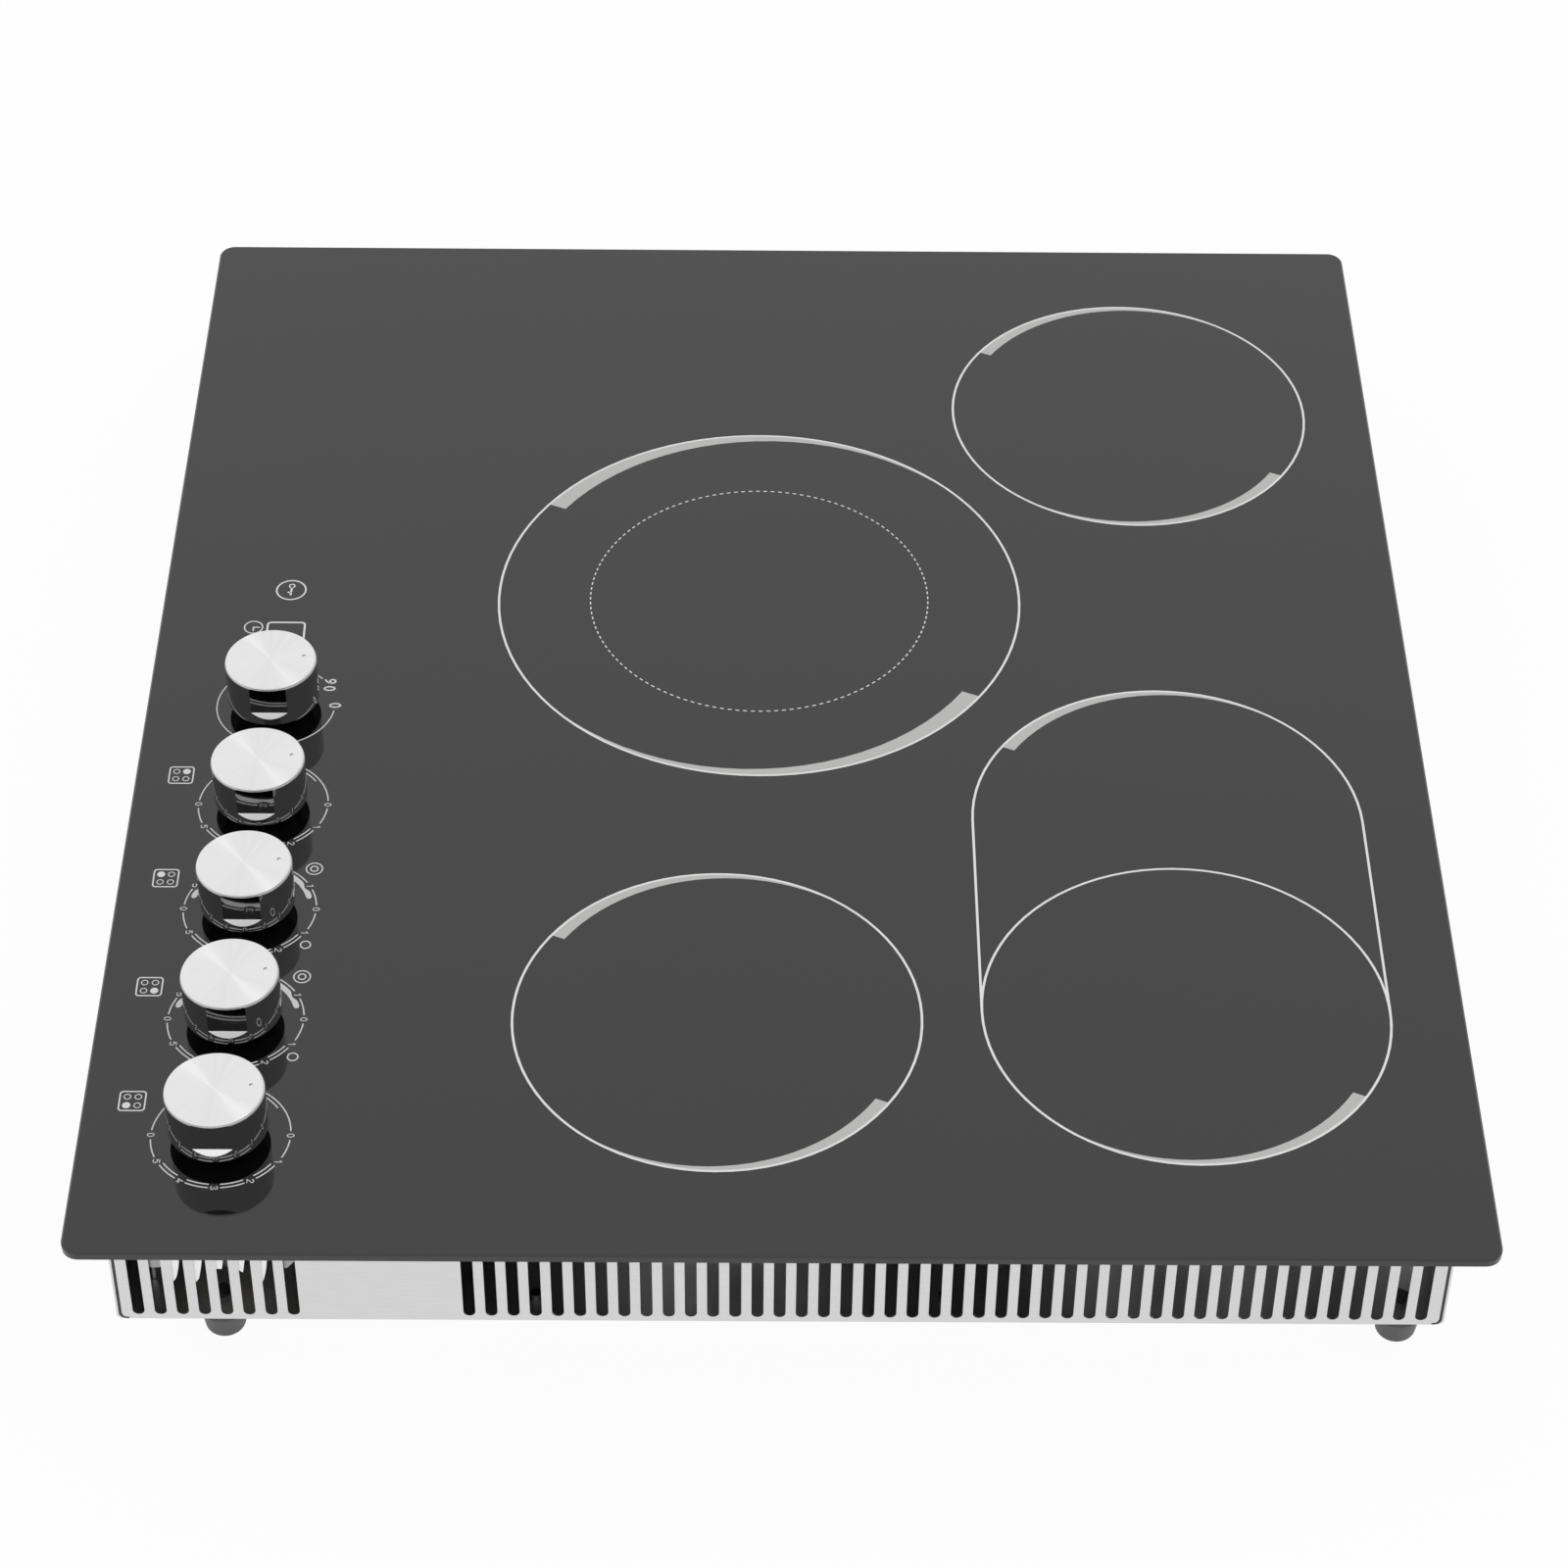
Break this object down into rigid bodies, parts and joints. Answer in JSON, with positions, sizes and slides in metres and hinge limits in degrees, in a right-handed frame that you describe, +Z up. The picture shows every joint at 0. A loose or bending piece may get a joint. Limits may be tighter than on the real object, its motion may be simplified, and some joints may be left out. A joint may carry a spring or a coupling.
{
  "type": "built-in ceramic-glass hob",
  "caption": "Built-in ceramic-glass hob with printed radiant zones, push-and-turn knobs along one side and a slotted sheet-steel casing on rubber feet.",
  "frame": {"origin": "on the surface under the feet, below the centre of the glass", "axes": "+X to the user's right, +Y to the rear, +Z up"},
  "size_m": [0.6, 0.51, 0.102],
  "materials": {
    "glass": "polished black ceramic glass",
    "print": "fired ceramic print",
    "foam": "closed-cell foam tape",
    "silicone": "cured silicone",
    "sheet_steel": "galvanised sheet",
    "pan_steel": "aluminised sheet",
    "spring_steel": "spring steel",
    "screw_steel": "zinc-plated",
    "fibre": "pressed ceramic fibre",
    "ribbon": "oxidised resistance alloy",
    "limiter": "steatite",
    "switch_housing": "moulded thermoset",
    "rotor_plastic": "moulded thermoset",
    "board": "circuit board",
    "terminal": "polyamide",
    "gland": "polyamide",
    "wire_sleeve": "silicone-sleeved wire",
    "foot_rubber": "moulded rubber",
    "shaft_steel": "turned steel",
    "knob_chrome": "polished chrome",
    "cap_aluminium": "spun with a radial sheen"
  },
  "bodies": {
    "hob": {"glass_top": "glass", "zone_print": "print", "worktop_tape": "foam", "glass_bond": "silicone", "bottom_tray": "sheet_steel", "side_panel_left": "sheet_steel", "side_panel_right": "sheet_steel", "heater_rails": "sheet_steel", "heater_springs": "spring_steel", "control_bracket": "sheet_steel", "control_board": "board", "terminal_block": "terminal", "cable_gland": "gland", "rubber_feet": "foot_rubber", "screws": "screw_steel", "wiring_loom": "wire_sleeve", "shaft_seals": "silicone", "limiters": "limiter", "heater_pan_rear_left": "pan_steel", "insulation_rear_left": "fibre", "heating_ribbon_rear_left": "ribbon", "heater_pan_big": "pan_steel", "insulation_big": "fibre", "heating_ribbon_big": "ribbon", "heater_pan_front_right": "pan_steel", "insulation_front_right": "fibre", "heating_ribbon_front_right": "ribbon", "heater_pan_rear_right": "pan_steel", "insulation_rear_right": "fibre", "heating_ribbon_rear_right": "ribbon", "timer_body": "switch_housing", "switch_body_2": "switch_housing", "switch_body_3": "switch_housing", "switch_body_4": "switch_housing", "switch_body_5": "switch_housing"},
    "rotor_1": {"rotor_1": "rotor_plastic", "push_spring_1": "spring_steel"},
    "knob_1": {"shaft_1": "shaft_steel", "knob_body_1": "knob_chrome", "knob_cap_1": "cap_aluminium"},
    "rotor_2": {"rotor_2": "rotor_plastic", "push_spring_2": "spring_steel"},
    "knob_2": {"shaft_2": "shaft_steel", "knob_body_2": "knob_chrome", "knob_cap_2": "cap_aluminium"},
    "rotor_3": {"rotor_3": "rotor_plastic", "push_spring_3": "spring_steel"},
    "knob_3": {"shaft_3": "shaft_steel", "knob_body_3": "knob_chrome", "knob_cap_3": "cap_aluminium"},
    "rotor_4": {"rotor_4": "rotor_plastic", "push_spring_4": "spring_steel"},
    "knob_4": {"shaft_4": "shaft_steel", "knob_body_4": "knob_chrome", "knob_cap_4": "cap_aluminium"},
    "rotor_5": {"rotor_5": "rotor_plastic", "push_spring_5": "spring_steel"},
    "knob_5": {"shaft_5": "shaft_steel", "knob_body_5": "knob_chrome", "knob_cap_5": "cap_aluminium"}
  },
  "joints": [
    {"name": "turn_1", "type": "hinge", "parent": "hob", "child": "rotor_1", "pos_m": [0.0115, -0.2037, 0.0499], "axis": [0, 0, 1], "range_deg": [-330, 0]},
    {"name": "push_1", "type": "slide", "parent": "rotor_1", "child": "knob_1", "axis": [0, 0, -1], "range_m": [0, 0.003], "stiffness_N_per_m": 400, "springref_m": -0.005, "deforming": ["push_spring_1"]},
    {"name": "turn_2", "type": "hinge", "parent": "hob", "child": "rotor_2", "pos_m": [0.06955, -0.2037, 0.0499], "axis": [0, 0, 1], "continuous": true},
    {"name": "push_2", "type": "slide", "parent": "rotor_2", "child": "knob_2", "axis": [0, 0, -1], "range_m": [0, 0.003], "stiffness_N_per_m": 400, "springref_m": -0.005, "deforming": ["push_spring_2"]},
    {"name": "turn_3", "type": "hinge", "parent": "hob", "child": "rotor_3", "pos_m": [0.1276, -0.2037, 0.0499], "axis": [0, 0, 1], "continuous": true},
    {"name": "push_3", "type": "slide", "parent": "rotor_3", "child": "knob_3", "axis": [0, 0, -1], "range_m": [0, 0.003], "stiffness_N_per_m": 400, "springref_m": -0.005, "deforming": ["push_spring_3"]},
    {"name": "turn_4", "type": "hinge", "parent": "hob", "child": "rotor_4", "pos_m": [0.18565, -0.2037, 0.0499], "axis": [0, 0, 1], "continuous": true},
    {"name": "push_4", "type": "slide", "parent": "rotor_4", "child": "knob_4", "axis": [0, 0, -1], "range_m": [0, 0.003], "stiffness_N_per_m": 400, "springref_m": -0.005, "deforming": ["push_spring_4"]},
    {"name": "turn_5", "type": "hinge", "parent": "hob", "child": "rotor_5", "pos_m": [0.2437, -0.2037, 0.0499], "axis": [0, 0, 1], "continuous": true},
    {"name": "push_5", "type": "slide", "parent": "rotor_5", "child": "knob_5", "axis": [0, 0, -1], "range_m": [0, 0.003], "stiffness_N_per_m": 400, "springref_m": -0.005, "deforming": ["push_spring_5"]}
  ]
}
